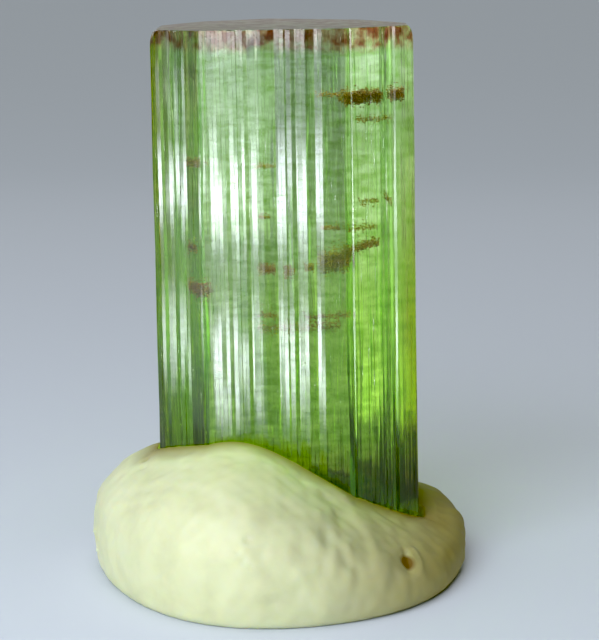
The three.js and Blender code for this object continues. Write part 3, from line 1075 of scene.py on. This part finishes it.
# %% [markdown]
# ## The room
# The rest of the light is a dim room, pale on the left and dark brown on the right, with a grey-blue wall
# at the level of the horizon. A picture of a real room could be used, but two blends are enough. The
# wall's colour is divided by the room's strength, so that it comes out as written.

# %% Dim room
ROOM = 0.36  # strength
PALE_SIDE, DARK_SIDE, FAR_WALL = "#E0EAF4", "#382E12", "#AFBAC1"

world = bpy.data.worlds.new("dim_room")
bpy.context.scene.world = world
world.use_nodes = True
tree = world.node_tree
tree.nodes.clear()
way = node(tree, "ShaderNodeTexCoord")
side = node(tree, "ShaderNodeSeparateXYZ", {"Vector": way.outputs["Generated"]})
turn = node(tree, "ShaderNodeMapRange", {"Value": side.outputs["X"], "From Min": -0.8, "From Max": 0.8})
shade = node(
    tree, "ShaderNodeMix",
    {"Factor": turn.outputs["Result"], "A": srgb(PALE_SIDE), "B": srgb(DARK_SIDE)},
    data_type="RGBA",
)
level = node(tree, "ShaderNodeMapRange", {"Value": side.outputs["Z"], "From Min": 0.04, "From Max": 0.1})
wall = node(
    tree, "ShaderNodeMix",
    {
        "Factor": level.outputs["Result"], "A": [v / ROOM for v in srgb(FAR_WALL)],
        "B": shade.outputs["Result"],
    },
    data_type="RGBA",
)
room = node(tree, "ShaderNodeBackground", {"Color": wall.outputs["Result"], "Strength": ROOM})
print("room strength:", ROOM)

# %% [markdown]
# ## The dome behind the crystal
# The putty would be washed out if the whole room were bright enough to fill the crystal. So the upper
# room is brighter only to rays that have passed into the crystal. The Light Path node tells them apart.

# %% Bright dome
ROOM_THROUGH = 5.0  # strength
path = node(tree, "ShaderNodeLightPath")
above = node(tree, "ShaderNodeMapRange", {"Value": side.outputs["Z"], "From Min": 0.02, "From Max": 0.3})
through = node(
    tree, "ShaderNodeMath",
    {0: path.outputs["Is Transmission Ray"], 1: above.outputs["Result"]},
    operation="MULTIPLY",
)
lit = node(tree, "ShaderNodeMath", {0: through.outputs["Value"], 1: ROOM_THROUGH}, operation="MULTIPLY")
dome = node(tree, "ShaderNodeBackground", {"Color": srgb("#FFFCF4"), "Strength": lit.outputs["Value"]})
both = node(tree, "ShaderNodeAddShader", {0: room.outputs["Background"], 1: dome.outputs["Background"]})
node(tree, "ShaderNodeOutputWorld", {"Surface": both.outputs["Shader"]})
print("dome strength through the crystal:", ROOM_THROUGH)

# %% [markdown]
# ## Floor light
# The panels are small and close, so they fall off before they reach the far floor. A sun straight above
# evens it out. Light linking keeps it to the floor, so that it doesn't flatten the object.

# %% Light the floor
only_floor = bpy.data.collections.new("lit_from_above")
only_floor.objects.link(floor)
sun = bpy.data.lights.new("floor_light", "SUN")
sun.energy, sun.angle = 1.38, math.radians(50)
floor_light = bpy.data.objects.new("floor_light", sun)
floor_light.light_linking.receiver_collection = only_floor
floor_light.visible_glossy = False
bpy.context.scene.collection.objects.link(floor_light)
print("floor light:", round(sun.energy, 2), "W to the square metre")

# %% [markdown]
# ## Camera
# The camera stands a little above the crystal's top and looks down by about 12 degrees. Its focal length
# was found in pixels of the photograph, mostly from how the crystal's edges draw together, and is turned
# into the millimetres that Blender wants.

# %% Set the camera
EYE, AIM = (0.21, -46.35, 16.0), (0.21, -PRISM_FACES[FRONT], 6.6)  # mm from the axis, and from the floor
FOCAL_PX, IMAGE_HIGH_PX = 1848, 640
SENSOR = 36  # mm

camera_data = bpy.data.cameras.new("camera")
camera = bpy.data.objects.new("camera", camera_data)
bpy.context.scene.collection.objects.link(camera)
eye, aim = Vector(beside(*EYE)) * MM, Vector(beside(*AIM)) * MM
camera.location = eye
camera.rotation_euler = (aim - eye).to_track_quat("-Z", "Y").to_euler()
camera_data.sensor_fit = "VERTICAL"
camera_data.sensor_height = camera_data.sensor_width = SENSOR
camera_data.lens = FOCAL_PX / IMAGE_HIGH_PX * SENSOR
camera_data.clip_start, camera_data.clip_end = 0.001, 10
bpy.context.scene.camera = camera
print("camera", round((eye - aim).length / MM, 1), "mm away, lens", round(camera_data.lens, 1), "mm")

# %% [markdown]
# ## View and finish
# The Standard view shows colours as they were written. A small black level deepens the darks a little,
# towards the photograph's contrast. A clear crystal needs many bounces, since a ray may be turned back
# inside it several times.

# %% Finish
BLACK_LEVEL = (0.015, 0.012, 0.028)
view = bpy.context.scene.view_settings
view.view_transform = "Standard"
view.use_curve_mapping = True
view.curve_mapping.black_level = BLACK_LEVEL
view.curve_mapping.update()
cycles = bpy.context.scene.cycles
cycles.use_denoising = True
cycles.transmission_bounces, cycles.max_bounces = 16, 20
cycles.sample_clamp_indirect = 8
